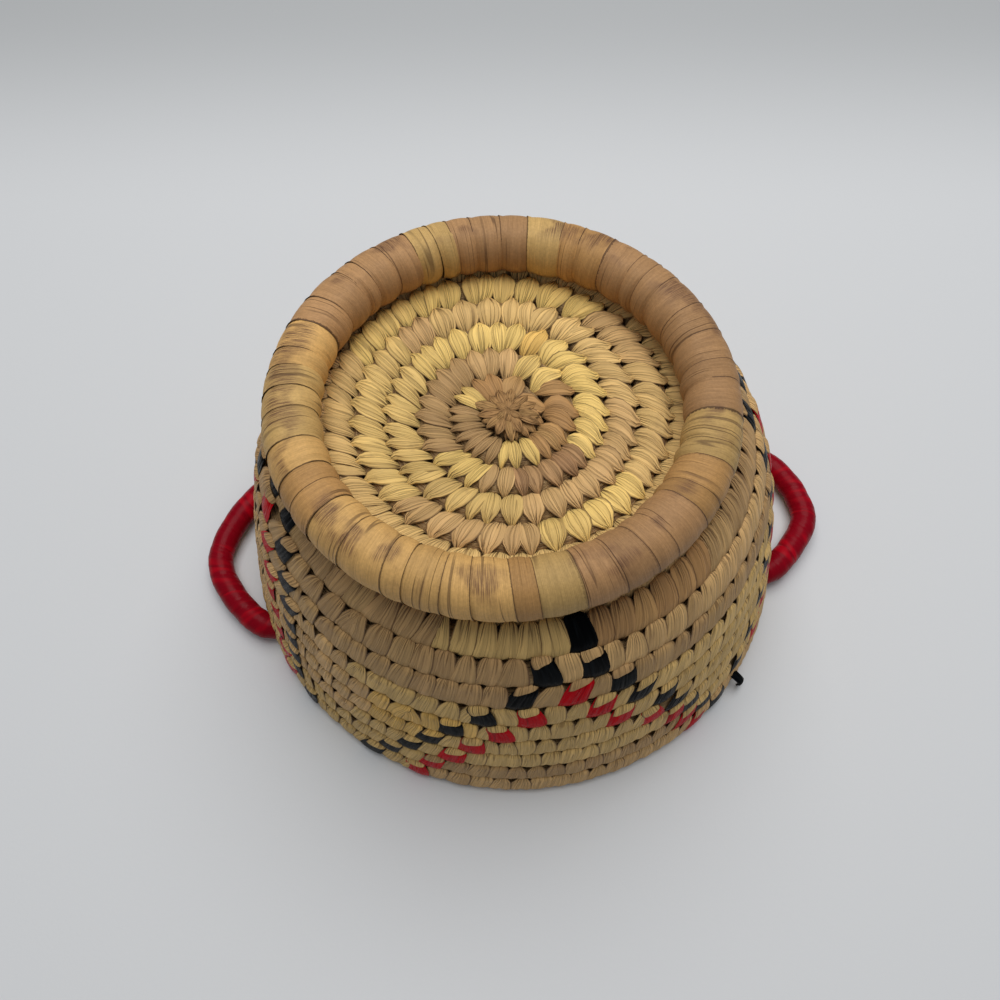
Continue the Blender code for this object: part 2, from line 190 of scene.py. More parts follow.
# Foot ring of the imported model, and the leaf bands wound round it, which overlap, puff out on the
# ring's inner side and sink below it
RING_RADIUS = 0.0561
RING_TUBE_RADIUS = 0.00765
RING_OFFSET = np.array((-0.0044, -0.0042, 0.0))
RING_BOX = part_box("foot_ring_core")
RING_HEIGHT = (RING_BOX[0][2] + RING_BOX[1][2]) / 2
FOOT_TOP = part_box("foot_ring_wrap")[1][2]
RING_SHARES = (0.6, 1.4)
RING_SLANT = -0.0030
RING_SLANTS = (-0.0018, 0.0018)
RING_SIZE = RING_TUBE_RADIUS - 0.0006
RING_SIZES = (-0.00010, 0.00010)
RING_BOWS = (0.0010, 0.0050)
RING_OVERLAP = 1.14
RING_PUFF = 0.0008
RING_PUFF_SWING = 0.0005
RING_SINK = 0.0018
RING_OPEN_ANGLE = 20.0
RING_EDGE_LIFT = 0.00045
RING_GRID = (8, 26)
FOOT_WEAR = 0.0002
FOOT_FLATTENING = 0.6
BOW_BALANCE = 0.08

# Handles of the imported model, by their azimuth and half their spread in degrees
HANDLE_RADIUS = 0.0043
HANDLE_REACH = 0.0186
HANDLE_POINTEDNESS = 1.35
HANDLE_SEAT_GAP = 0.0006
HANDLE_FLOOR_GAP = 0.0004
HANDLE_PLACES = {"left": (188.0, 17.5), "right": (2.5, 16.5)}
RIM_REACH_RADIUS = 0.087
# How sharply the first and last arm of each handle bend, as shares of a corner, and how far the
# handle reaches and its last arm spreads, as shares of the model's
HANDLE_BENDS = {"left": (0.66, 0.66, 0.94, 1.0), "right": (0.15, 0.90, 1.0, 0.86)}
BEND_BLUNTNESS = 0.2
BEND_CHANGE = 0.3
STEMS_RADIUS = 0.0031
STEMS_STEPS = 60
# Ribbon on the handles: its thickness and overlap, and the ranges of its places, sizes and slants
RIBBON_SIZE = HANDLE_RADIUS - 0.0003
RIBBON_OVERLAP = 1.7
RIBBON_STRAYS = (-0.0008, 0.0008)
RIBBON_SIZES = (-0.0001, 0.0001)
RIBBON_SLANTS = (0.3, 1.0)
RIBBON_EDGE_LIFT = 0.0002
RIBBON_GRID = (6, 20)

LOOSE_AZIMUTH = 322.0
LOOSE_LENGTH = 0.0068
LOOSE_WIDTH = 0.0030
LOOSE_THICKNESS = 0.0004
# Strips that end over the floor keep this far above it
FLOOR_GAP = 0.0002
# Numbers that tell the grain of one strip from the next: the step and start for each kind
OWN_NUMBERS = {"stitch": (1.7, 0), "tongue": (1.7, 0.9), "petal": (4.1, 300), "leaf": (2.3, 500),
               "ribbon": (3.1, 900), "end": (0, 77)}

# Rows where each coloured line starts, and the azimuth of its stitch on every row from there
BLACK_LINES = (
    (7, (284.7, 276.7, 270.6, 263.9, 257.5, 252.5, 248.3, 244.0, 239.9)),
    (8, (286.6, 291.4, 294.8, 300.4, 303.6, 307.3, 311.1, 315.9)),
    (6, (203.0, 198.5, 188.0, 182.0, 176.0, 170.5, 165.0, 159.5, 154.0)),
    (7, (208.0, 211.0, 214.0, 216.0, 217.0, 217.6, 218.2, 219.0, 223.0)),
    (6, (366.5, 361.0, 354.0, 349.0, 344.0, 339.0, 334.0, 328.0, 323.0)),
    (7, (372.0, 376.5, 380.5, 384.5, 388.0, 391.5, 395.0, 398.5)),
    (7, (106.0, 100.5, 95.3, 90.2, 85.3, 80.4, 75.6, 70.8)),
    (8, (110.0, 114.0, 118.0, 121.5, 125.0, 128.5, 132.0)),
)
RED_LINES = (
    (9, (281.3, 273.5, 267.6, 261.6, 257.5, 253.0, 250.3)),
    (10, (286.3, 290.1, 298.1, 302.7, 306.1, 309.2)),
    (8, (200.0, 186.0, 179.0, 173.0, 167.0, 161.5, 156.0)),
    (9, (203.5, 207.0, 208.0, 210.0, 211.5, 213.0, 215.0)),
    (8, (363.5, 357.5, 352.0, 346.5, 341.5, 336.0, 331.0)),
    (9, (368.0, 372.0, 376.0, 379.5, 383.0, 386.5)),
    (9, (103.0, 97.8, 92.8, 88.0, 83.2, 78.6)),
    (10, (107.0, 111.0, 114.6, 118.2, 121.8)),
)


def paint(red, green, blue):
    """Colour for a shader from the numbers of a colour picker."""
    shares = [value / 255 for value in (red, green, blue)]
    return tuple(s / 12.92 if s <= 0.04045 else ((s + 0.055) / 1.055) ** 2.4 for s in shares)


# Natural lots of strip: the colour of each, and the turns up to which it was sewn
STRIP_LOTS = {
    "pale yellow": (paint(222, 194, 122), (1.24, 1.60, 1.97, 2.44, 2.92, 3.17, 4.66, 5.20)),
    "golden": (paint(214, 178, 104), (2.96, 11.48, 12.46)),
    "straw": (paint(212, 184, 120), (3.52, 4.38)),
    "olive beige": (paint(198, 170, 114), (7.54, 10.80, 11.70, 12.80, 14.45, 15.45)),
    "beige": (paint(208, 178, 122), (4.10, 4.80, 6.10)),
    "beige grey": (paint(194, 162, 116), (2.10, 2.50, 3.77, 4.15, 4.53, 4.90, 7.00, 9.20, 10.40, 11.42,
                                          12.41, 13.40, 17.00)),
    "grey brown": (paint(172, 142, 102), (1.47, 2.35, 7.45, 8.52, 9.75, 14.60)),
    "brown": (paint(166, 130, 88), (1.15, 1.85, 7.63)),
    "reddish brown": (paint(160, 126, 94), (2.66,)),
}
# A strip may lean towards one of these lots, and strips at some azimuths are painted lighter than others, as
# painted light
OTHER_LOTS = ("beige", "olive beige", "grey brown")
OTHER_SHARES = (0.0, 0.20)
STRIP_AZIMUTH_LIGHT = ((0, 1.23), (45, 1.29), (90, 1.32), (150, 1.17), (190, 1.12), (250, 1.08), (290, 1.12),
                (360, 1.23))
STRIP_CAST = (1.03, 0.955, 0.83)
STRIP_SHADES = (0.92, 1.07)

# Leaf on the foot ring, and the azimuths up to which each lot was wound
TAN_LEAF = paint(180, 136, 82)
LEAF_LOTS = {
    "tan": (TAN_LEAF, (30, 70, 222, 280, 336)),
    "pink": (paint(170, 129, 86), (22, 52, 106, 160, 318, 361)),
    "gold": (paint(206, 162, 98), (176, 204, 268)),
    "pale": (paint(192, 156, 96), (82, 117, 196, 287, 346)),
}
# Painted light: the leaf is made lighter at some azimuths than at others
LEAF_AZIMUTH_LIGHT = ((0, 1.0), (60, 1.10), (90, 1.14), (180, 1.25), (230, 1.04), (270, 0.98), (360, 1.0))
LEAF_SHADES = (0.90, 1.08)

# Browns of painted shade in creases, along strip borders and at tucked ends, of stains, and of frayed leaf
# edges that also serves as painted shade in the leaf's creases; painted sheen on the folds of dyed strip,
# and its gloss
CREASE_AND_EDGE_SHADE = (0.085, 0.038, 0.014, 1.0)
STAIN_BROWN = (0.30, 0.18, 0.08, 1.0)
FRAYED_EDGE_AND_CREASE_SHADE = (0.07, 0.032, 0.015, 1.0)
SPECKLE_BROWN = (0.15, 0.07, 0.035, 1.0)
BLACK_SHEEN = (0.007, 0.009, 0.011)
RED_SHEEN = (0.58, 0.003, 0.008)
RIBBON_SHEEN = (0.44, 0.001, 0.010)
STRIP_GLOSS = 1.10
RIBBON_GLOSS = 1.16

# One stitch: the turn of its middle, how far its tucked and outer ends lean from it, its colour,
# whether it starts a coloured line, and the turn where its outer end comes out
Stitch = namedtuple("Stitch", "turns lean tail colour first point")


class Wire:
    """One output of a node; +, - and * on it add Math nodes."""

    def __init__(self, tree, socket=None):
        self.tree = tree
        self.socket = socket

    def __getitem__(self, output):
        return Wire(self.tree, self.socket.node.outputs[output])

    def node(self, kind, settings=None, sockets=None, output=0):
        """Any node: its settings are set first, then its sockets get values or links."""
        made = self.tree.nodes.new(kind)
        for name, value in (settings or {}).items():
            setattr(made, name, value)
        for name, value in (sockets or {}).items():
            if isinstance(value, Wire):
                self.tree.links.new(value.socket, made.inputs[name])
            else:
                made.inputs[name].default_value = value
        return Wire(self.tree, made.outputs[output])

    def math(self, operation, first, second=0.0):
        return self.node("ShaderNodeMath", {"operation": operation}, {0: first, 1: second})

    def __add__(self, other):
        return self.math("ADD", self, other)

    def __sub__(self, other):
        return self.math("SUBTRACT", self, other)

    def __rsub__(self, other):
        return self.math("SUBTRACT", other, self)

    def __mul__(self, other):
        return self.math("MULTIPLY", self, other)

    def __abs__(self):
        return self.math("ABSOLUTE", self)

    def most(self, other):
        """The larger of two values."""
        return self.math("MAXIMUM", self, other)

    def between(self, low, high, start=0.0, end=1.0):
        """A soft step from start to end as the value goes from low to high."""
        return self.node("ShaderNodeMapRange", {"interpolation_type": "SMOOTHSTEP"},
                         {0: self, 1: low, 2: high, 3: start, 4: end})

    def mix(self, share, first, second, how="MIX"):
        """Second colour laid over the first by a share."""
        return self.node("ShaderNodeMix", {"data_type": "RGBA", "blend_type": how},
                         {0: share, 6: first, 7: second}, 2)

    def lit(self, light):
        """This colour made lighter or darker."""
        shade = self.node("ShaderNodeCombineColor", {}, {0: light, 1: light, 2: light})
        return self.mix(1.0, self, shade, "MULTIPLY")

    def ramp(self, *stops):
        """Colours that follow the value, each with its place."""
        made = self.node("ShaderNodeValToRGB", {}, {0: self})
        elements = made.socket.node.color_ramp.elements
        for index, (place, shade) in enumerate(stops):
            stop = elements[index] if index < 2 else elements.new(place)
            stop.position = place
            stop.color = (*shade, 1.0)
        return made

    def place(self):
        """Where a point is in its object."""
        return self.node("ShaderNodeTexCoord")["Object"]

    def sides(self):
        """This place taken apart."""
        return self.node("ShaderNodeSeparateXYZ", {}, {0: self})

    def noise(self, place, scale=1.0, detail=2.0, roughness=0.5):
        """Noise read at a place, which may be given as its three sides."""
        if isinstance(place, tuple):
            place = self.node("ShaderNodeCombineXYZ", {}, dict(enumerate(place)))
        return self.node("ShaderNodeTexNoise", {},
                         {"Vector": place, "Scale": scale, "Detail": detail, "Roughness": roughness})

    def relief(self, strength, distance):
        return self.node("ShaderNodeBump", {},
                         {"Strength": strength, "Distance": distance, "Height": self})


def start_material(name, colour):
    """A new material, and a wire to make its nodes with."""
    made = bpy.data.materials.new(name)
    made.use_nodes = True
    made.diffuse_color = (*colour, 1.0)
    return made, Wire(made.node_tree)


def feed(made, **sockets):
    """The material with wires linked to its shader's sockets, or with their plain values set."""
    for name, value in sockets.items():
        socket = made.node_tree.nodes["Principled BSDF"].inputs[name.replace("_", " ")]
        if isinstance(value, Wire):
            made.node_tree.links.new(value.socket, socket)
        else:
            socket.default_value = value
    return made


def strip_places(wires):
    """Across the strip, along it from its tucked end, and its own number."""
    sides = wires.node("ShaderNodeUVMap", {"uv_map": "UVMap"}).sides()
    own = wires.node("ShaderNodeAttribute", {"attribute_name": "own_number"})["Fac"]
    return sides["X"], 1 - sides["Y"], own


def strip_tint(wires):
    return wires.node("ShaderNodeAttribute", {"attribute_name": "tint"})["Color"]


def strip_grain(wires, across, along, own):
    """Fine fibres, soft folds, broad pleats and the thin uneven creases that run along a strip."""
    fibres = wires.noise((across * 40.0, along * 3.0, own), 1.0, 3.0, 0.65)
    folds = wires.noise((across * 5.0, along * 2.2, own + 7.3), 1.0, 1.5)
    pleats = wires.noise((across * 9.0, along * 0.9, own + 3.9), 1.0, 0.0, 0.4)
    crease = abs(pleats - 0.5).between(0.008, 0.055, 1.0, 0.0)
    return fibres, folds, pleats, crease


def natural_strip():
    """Split leaf, satin, with fine fibres and odd stains, painted shade along its borders and at its tucked
    end, and creases drawn as dark lines of painted shade, softer on the wall.
    """
    made, wires = start_material("natural leaf strip", (0.6, 0.45, 0.24))
    across, along, own = strip_places(wires)
    fibres, folds, pleats, crease = strip_grain(wires, across, along, own)
    place = wires.place()
    light = fibres.between(0.25, 0.75, 0.80, 1.16) * folds.between(0.3, 0.7, 0.90, 1.08)
    light = light * pleats.between(0.35, 0.65, 0.93, 1.06)
    stains = wires.noise(place, 170.0, 3.0, 0.6).between(0.56, 0.78)
    stained = wires.mix(stains * 0.3, strip_tint(wires).lit(light), STAIN_BROWN)
    # Creases are dark lines of painted shade, strongest where the strip is gathered near its ends and
    # fainter lower down
    gathered = along.between(0.14, 0.38, 1.0, 0.40) + along.between(0.46, 0.64, 0.0, 0.6)
    lines = crease * gathered * folds.between(0.25, 0.55, 0.55, 1.15)
    lines = lines * place.sides()["Z"].between(0.068, 0.084, 0.55, 1.0)
    # Painted shade along the strip's borders, partly a thin dark line where neighbours meet, and at its
    # tucked end where it dips under the row before
    edge = abs(across - 0.5).between(0.42, 0.49)
    tucked = along.between(0.0, 0.10, 0.75, 0.0)
    colour = wires.mix((lines * 0.92).most(edge * 0.85).most(tucked), stained, CREASE_AND_EDGE_SHADE)
    height = fibres * 0.22 + folds * 0.45 + pleats * 1.1 - lines * 0.7
    return feed(made, Base_Color=colour, Roughness=fibres.between(0.2, 0.8, 0.68, 0.50),
                Normal=height.relief(0.8, 0.0006), IOR=1.3)


def glossy_strip(name, colour, light, gloss, grain=1.0):
    """Dyed strip with a shine, folded along its length, with painted sheen on its folds and fibres and
    painted shade in its creases.
    """
    made, wires = start_material(name, colour)
    fibres, folds, pleats, crease = strip_grain(wires, *strip_places(wires))
    # Painted sheen: a lighter colour laid over the folds and fibres
    folds_sheen = wires.mix(folds.between(0.50, 0.70) * 0.7, (*colour, 1.0), (*light, 1.0))
    lined = wires.mix(fibres.between(0.6, 0.8) * 0.3 * grain, folds_sheen, (*light, 1.0))
    # Painted shade in the creases
    deep = tuple(share * 0.25 for share in colour)
    shade = wires.mix(crease * 0.5 * grain, lined, (*deep, 1.0))
    height = folds * 1.2 + pleats * 0.5 * grain + fibres * 0.12 * grain
    return feed(made, Base_Color=shade, Roughness=folds.between(0.3, 0.7, 0.22, 0.40),
                Normal=height.relief(0.9, 0.0006), IOR=gloss)


def coil_material():
    """Loose split stems that run along the coil, red brown, with painted shade in the dark gaps between
    them.
    """
    made, wires = start_material("stem bundle", (0.25, 0.13, 0.06))
    sides = wires.node("ShaderNodeUVMap", {"uv_map": "UVMap"}).sides()
    stems = wires.noise((sides["X"] * 64.0, sides["Y"] * 700.0, 3.1), 1.0, 4.0, 0.7)
    # The darkest stops are painted shade in the gaps between stems; the rest is the stems' own colour
    colour = stems.ramp((0.34, (0.07, 0.036, 0.016)), (0.46, (0.26, 0.15, 0.062)),
                        (0.56, (0.47, 0.30, 0.13)), (0.72, (0.60, 0.42, 0.22)))
    return feed(made, Base_Color=colour, Roughness=0.8, Normal=stems.relief(1.0, 0.0008))


def core_material():
    """Stems inside the ring and handles, by the place in the object itself."""
    made, wires = start_material("stem bundle core", (0.25, 0.14, 0.06))
    stems = wires.noise(wires.place(), 900.0, 3.0, 0.7)
    # The dark stop is painted shade in the gaps between stems
    colour = stems.ramp((0.32, (0.03, 0.015, 0.008)), (0.68, (0.32, 0.18, 0.08)))
    return feed(made, Base_Color=colour, Roughness=0.85, Normal=stems.relief(0.7, 0.0004))


def ring_leaf():
    """Broad flat leaf with ruled fibres, brown frayed edges and speckled stains, and creases painted dark as
    painted shade.
    """
    made, wires = start_material("broad leaf wrap", (0.52, 0.33, 0.16))
    across, along, own = strip_places(wires)
    fine = (across * 52.0, along * 5.0, own)
    lines = wires.noise(fine, 1.0, 3.0, 0.7)
    bands = wires.noise((across * 7.0, along * 1.5, own + 5.0))
    place = wires.place()
    paper = wires.noise(place, 1400.0, 2.0, 0.6).between(0.3, 0.7, 0.93, 1.06)
    light = lines.between(0.25, 0.75, 0.85, 1.12) * bands.between(0.3, 0.7, 0.93, 1.05) * paper
    patches = wires.noise(place, 80.0).between(0.48, 0.58)
    upper = abs(along - 0.53).between(0.04, 0.16, 1.0, 0.10)
    specks = wires.noise(fine, 1.2, 3.0, 0.7).between(0.42, 0.60, 0.25, 1.0)
    stained = wires.mix(patches * specks * upper * 0.95, strip_tint(wires).lit(light), SPECKLE_BROWN)
    ragged = wires.noise((own, along * 60.0, 0.0), 1.0, 2.0, 0.7) - 0.5
    rim = (abs(across - 0.5) + ragged * 0.03).between(0.466, 0.488)
    toothed = wires.noise((own, 0.0, 0.0), 1.7).between(0.54, 0.60)
    rim = rim.most((across + ragged * 0.14).between(0.93, 0.96) * toothed)
    # Creases painted dark: painted shade in the leaf's folds
    folded = wires.noise((across * 3.4, along * 0.45, own + 2.2), 1.0, 0.0, 0.4)
    present = wires.noise((across * 1.2, along * 2.2, own + 8.1), 1.0, 1.0)
    crease = abs(folded - 0.5).between(0.004, 0.024, 1.0, 0.0) * present.between(0.47, 0.62)
    colour = wires.mix((rim * 0.85).most(crease * 0.6), stained, FRAYED_EDGE_AND_CREASE_SHADE)
    height = lines * 0.45 + bands * 1.1 - rim * 0.6 - crease * 0.5
    return feed(made, Base_Color=colour, Roughness=lines.between(0.2, 0.8, 0.68, 0.50),
                Normal=height.relief(0.7, 0.0005), IOR=1.35)


def floor_material():
    """Matt pale paper, with painted shade that makes it a little darker far behind the basket."""
    made, wires = start_material("pale paper", (0.8, 0.8, 0.8))
    place = wires.place()
    # Painted shade: darker far behind the basket
    far = place.sides()["Y"].between(0.16, 0.34)
    tone = wires.mix(far, (0.66, 0.67, 0.68, 1.0), (0.45, 0.46, 0.465, 1.0))
    return feed(made, Base_Color=tone, Roughness=0.7,
                Normal=wires.noise(place, 900.0).relief(0.1, 0.0002))


def compass(angle):
    """Level direction at an angle, in radians."""
    return np.stack((np.cos(angle), np.sin(angle), 0 * angle), -1)


def level_places(angle, ahead, aside):
    """Level distances ahead and aside, seen along an angle."""
    return compass(angle) * ahead[:, None] + compass(angle + math.pi / 2) * aside[:, None]


def keep_above(places, height):
    """The places with none lower than a height."""
    places[:, 2] = np.maximum(places[:, 2], height)
    return places


def arc_at(turns):
    """Distance from the middle of the base along the section, which steps out once a turn."""
    swing = 2 * np.pi * turns
    step = (4 / 3 * np.sin(swing) + 1 / 6 * np.sin(2 * swing)) / (2 * np.pi)
    return TURN_PITCH * (turns + np.minimum(1.0, turns / STEP_FADE_TURNS) * step)


def fall_angle(arc):
    """Angle below the horizontal of the section, in radians."""
    dish = -np.arctan(2 * DISH_DEPTH * arc / BASE_RADIUS ** 2)
    edge = -math.atan(2 * DISH_DEPTH / BASE_RADIUS)
    wall = math.radians(90 - WALL_FLARE)
    bend = wall + (edge - wall) * np.exp(-np.maximum(0.0, arc - BASE_RADIUS) / SHOULDER_LENGTH)
    return np.where(arc < BASE_RADIUS, dish, bend)


SECTION_ARCS = np.arange(int(ARC_END / SECTION_STEP) + 3) * SECTION_STEP
SECTION_FALLS = fall_angle(SECTION_ARCS[:-1] + SECTION_STEP / 2)
SECTION_RADII = np.concatenate(((0.0,), np.cumsum(SECTION_STEP * np.cos(SECTION_FALLS))))
SECTION_DEPTHS = np.concatenate(((0.0,), np.cumsum(SECTION_STEP * np.sin(SECTION_FALLS))))
RIM_DEPTH = float(np.interp(ARC_END, SECTION_ARCS, SECTION_DEPTHS))


def bundle_radius(turns):
    """Half thickness of the bundle: thin at the start, whole, then tapering into the rim."""
    start = START_THINNING + (1 - START_THINNING) * np.minimum(1.0, turns)
    room = (ARC_END - arc_at(turns - 1)) * math.cos(math.radians(WALL_FLARE))
    room = (room - LEAST_TURN_GAP - FLOOR_CUT * COIL_RADIUS) / (2 - FLOOR_CUT)
    tail = np.minimum(COIL_RADIUS, room)
    return np.where(turns < TURNS, COIL_RADIUS * start, np.maximum(tail, LEAST_TAIL_RADIUS))


def coil_frame(turns, rows_before=0):
    """Middle of the bundle and its outward and onward directions, here or a row before."""
    own = np.maximum(turns - rows_before, 0.0)
    arc = np.minimum(arc_at(own), ARC_END)
    radius = np.interp(arc, SECTION_ARCS, SECTION_RADII)
    depth = np.interp(arc, SECTION_ARCS, SECTION_DEPTHS)
    height = (1 - FLOOR_CUT) * COIL_RADIUS + RIM_DEPTH - depth
    drop = (1 - FLOOR_CUT) * (COIL_RADIUS - bundle_radius(own))
    height = height - np.where(own > TURNS, drop, 0.0)
    level = compass(np.radians(START_AZIMUTH + 360 * turns))
    fall = fall_angle(arc)[..., None]
    middle = BASE_OFFSET * (1 - arc / ARC_END)[..., None] + level * radius[..., None]
    middle = middle + RISE * height[..., None]
    outward = level * np.sin(fall) + RISE * np.cos(fall)
    onward = level * np.cos(fall) - RISE * np.sin(fall)
    return middle, outward, onward


def beside_coil(turns, across, out, rows_before=0):
    """Places across and out from the bundle's middle, here or a row before."""
    middle, outward, onward = coil_frame(turns, rows_before)
    return middle + onward * across[:, None] + outward * out[:, None]


def value_at(table, place):
    """What a table of places and values says at a place."""
    return float(np.interp(place, *zip(*table)))


def row_radius(turns):
    """Distance of the coil's middle from the vertical through the rim's middle."""
    return float(np.linalg.norm(coil_frame(np.array(turns))[0][:2]))


def azimuth_at(turns):
    return (START_AZIMUTH + 360 * turns) % 360


def choose(*chosen):
    """Leave edit mode and select only these, the first of them active."""
    if bpy.context.mode != "OBJECT":
        bpy.ops.object.mode_set(mode="OBJECT")
    bpy.ops.object.select_all(action="DESELECT")
    for each in chosen:
        each.select_set(True)
    if chosen:
        bpy.context.view_layer.objects.active = chosen[0]


def pick(strip, wanted):
    """Select the points of the strip being edited whose place passes a test."""
    cage = bmesh.from_edit_mesh(strip.data)
    for point in cage.verts:
        point.select = wanted(point.co)
    cage.select_flush_mode()
    bmesh.update_edit_mesh(strip.data)


def shift(strip, wanted, y=0.0, z=0.0):
    """Move the points that pass a test along the strip and off it."""
    pick(strip, wanted)
    bpy.ops.transform.translate(value=(0.0, y, z))


def flat_strip(name, across, along):
    """A flat strip one unit wide and long, in edit mode; its tucked end is at +Y."""
    choose()
    bpy.ops.mesh.primitive_grid_add(x_subdivisions=across, y_subdivisions=along, size=1.0)
    strip = bpy.context.active_object
    strip.name = name
    bpy.context.tool_settings.mesh_select_mode = (True, False, False)
    bpy.ops.object.mode_set(mode="EDIT")
    return strip


def crown(strip, steps):
    """Lift the middle of a strip over its edges: everything within each half width goes up."""
    for half, height in steps:
        shift(strip, lambda co: abs(co.x) < half + NEAR / 10, z=height)


def draw_in(strip, shares):
    """Draw in the rows of a strip, counted from its tucked end."""
    for row, share in enumerate(shares):
        place = 0.5 - row / (len(shares) - 1)
        pick(strip, lambda co: abs(co.y - place) < NEAR)
        bpy.ops.transform.resize(value=(share, 1.0, 1.0), center_override=(0.0, place, 0.0))


def model_stitch(name, shares, fold=None):
    """One sewing strip laid flat, crowned, perhaps folded, drawn in and rounded at its tucked end."""
    strip = flat_strip(name, STRIP_STEPS, len(shares) - 1)
    crown(strip, STITCH_CROWN)
    if fold is not None:
        shift(strip, lambda co: abs(co.x - fold) < 5 * NEAR, z=-FOLD_DEPTH)
    draw_in(strip, shares)
    for place, outside, back in ROUNDED_END:
        shift(strip, lambda co: co.y > place and abs(co.x) > outside * shares[0], y=-back)
    choose(strip)
    return strip


def model_tongue():
    """The beige end that covers the upper part of a coloured stitch, ragged below."""
    strip = flat_strip("tongue_pattern", STRIP_STEPS, len(TONGUE_SHARES) - 1)
    crown(strip, TONGUE_CROWN)
    draw_in(strip, TONGUE_SHARES)
    shift(strip, lambda co: co.y > END and abs(co.x) > TONGUE_MIDDLE, y=-TONGUE_TRIM)
    shift(strip, lambda co: co.y < -END and round((co.x + 0.5) * STRIP_STEPS) in TONGUE_NICKS,
          y=-TONGUE_TRIM)
    choose(strip)
    for corner in strip.data.uv_layers.active.data:
        corner.uv.y = 1.0 - (1.0 - corner.uv.y) * TONGUE_PATTERN_SHARE
    return strip


def model_band(name, grid, lift):
    """A band to be wound once round a tube, its leading edge lifted over the next one."""
    strip = flat_strip(name, *grid)
    crown(strip, BAND_CROWN)
    shift(strip, lambda co: co.x > LEADING_EDGE, z=lift)
    choose(strip)
    return strip


def points_of(strip):
    places = np.empty(3 * len(strip.data.vertices))
    strip.data.vertices.foreach_get("co", places)
    return places.reshape(-1, 3)


def draw(span):
    """A number drawn from a range."""
    return chance.uniform(*span)


def copy_strip(pattern, places, kind, index, tint):
    """A copy of the pattern with its own mesh, bent to its place, numbered and tinted."""
    copy = pattern.copy()
    copy.data = pattern.data.copy()
    bpy.context.collection.objects.link(copy)
    copy.data.vertices.foreach_set("co", places.ravel())
    shades = copy.data.attributes.new("tint", "FLOAT_COLOR", "POINT")
    shades.data.foreach_set("color", np.tile((*tint, 1.0), len(places)))
    step, start = OWN_NUMBERS[kind]
    numbers = copy.data.attributes.new("own_number", "FLOAT", "POINT")
    numbers.data.foreach_set("value", np.full(len(places), float(index * step + start)))
    return copy


def closed_tube(name, across, along, lay):
    """A strip whose points are laid round a bundle, sewn shut along its side and at its ends."""
    tube = flat_strip(name, across, along)
    choose(tube)
    tube.data.vertices.foreach_set("co", lay(points_of(tube)).ravel())
    tube.data.update()
    bpy.ops.object.mode_set(mode="EDIT")
    bpy.ops.mesh.select_all(action="SELECT")
    bpy.ops.mesh.remove_doubles(threshold=0.00002)
    bpy.ops.mesh.fill_holes(sides=2 * TUBE_SIDES)
    bpy.ops.mesh.normals_make_consistent(inside=False)
    return tube


def join_as(name, copies, surface, replaced=()):
    """One piece of all the copies, smooth, with its material, riding on the basket."""
    choose(*copies)
    bpy.ops.object.join()
    piece = bpy.context.active_object
    piece.name = name
    piece.data.name = name
    bpy.ops.object.shade_smooth_by_angle(angle=math.radians(50))
    piece.data.materials.clear()
    piece.data.materials.append(surface)
    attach(piece, "root")
    if replaced:
        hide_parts(*replaced)


def path_places(along, path):
    """Where a strip is on its path, across and out from the bundle's middle, and its way there."""
    points = np.array(path) / 1000
    ways = np.gradient(points, axis=0)
    ways /= np.linalg.norm(ways, axis=1)[:, None]
    shares = np.linspace(0.0, 1.0, len(points))
    return [np.interp(along, shares, row) for row in (*points.T, *ways.T)]


def lay_petal(flat, angle, start, length, width, height):
    """Where the points of a flat strip go in the knot that the coil starts from."""
    share = 0.5 - flat[:, 1]
    places = coil_frame(np.array(0.0))[0] + level_places(angle, start + share * length, flat[:, 0] * width)
    places[:, 2] += height + flat[:, 2] + PETAL_LIFT - PETAL_DROOP * (share - PETAL_TOP) ** 2
    return places


def lay_stitch(flat, path, stitch, width, tilt, lift, share=1.0, skew=0.0):
    """Where the points of a flat strip go when it is sewn round the bundle, over a share of its path."""
    along = (0.5 - flat[:, 1]) * (share + skew * flat[:, 0])
    across, out, way_x, way_y = path_places(along, path)
    raised = flat[:, 2] + lift + tilt * flat[:, 0]
    across = across - way_y * raised
    out = out + way_x * raised
    swing = np.interp(along, np.linspace(0.0, 1.0, len(PATH_SWING)), PATH_SWING)
    swing = swing * np.where(swing > 0, stitch.lean, stitch.tail)
    spots = stitch.turns + (flat[:, 0] * width + swing) / (2 * np.pi * row_radius(stitch.turns))
    spots = np.clip(spots, LEAST_TURN, LAST_TURN)
    thickness = bundle_radius(spots) / COIL_RADIUS
    here = beside_coil(spots, across * thickness, out * thickness)
    reach = value_at(ROW_REACH, stitch.turns)
    before = beside_coil(spots, (across + TURN_PITCH) * reach, out, 1)
    blend = np.clip((ROW_EDGE - across) / ROW_CHANGE, 0.0, 1.0)
    blend = (blend * blend * (3 - 2 * blend))[:, None]
    return keep_above(here * (1 - blend) + before * blend, 0.0)


def coloured_cells():
    """Turn count, colour and whether it is a line's first stitch, for each coloured stitch."""
    cells = []
    for colour, lines in (("black", BLACK_LINES), ("red", RED_LINES)):
        for index, (row, azimuths) in enumerate(lines):
            for step, azimuth in enumerate(azimuths):
                turns = row + step + (azimuth - START_AZIMUTH) / 360
                cells.append((turns, colour, index % 2 == 0 and step == 0))
    return sorted(cells)


def row_length(turns):
    """Length of one turn of the coil there."""
    return 2 * math.pi * max(LEAST_ROW_RADIUS, row_radius(turns))


def usual_width(turns, sizes):
    """Width of a stitch at some turn, before it gives way to its neighbours."""
    widths = [(end, share * sizes.base_stitch) for end, share in BASE_WIDTHS]
    widths += [(end, share * sizes.wall_stitch) for end, share in WALL_WIDTHS]
    return value_at(widths, turns)


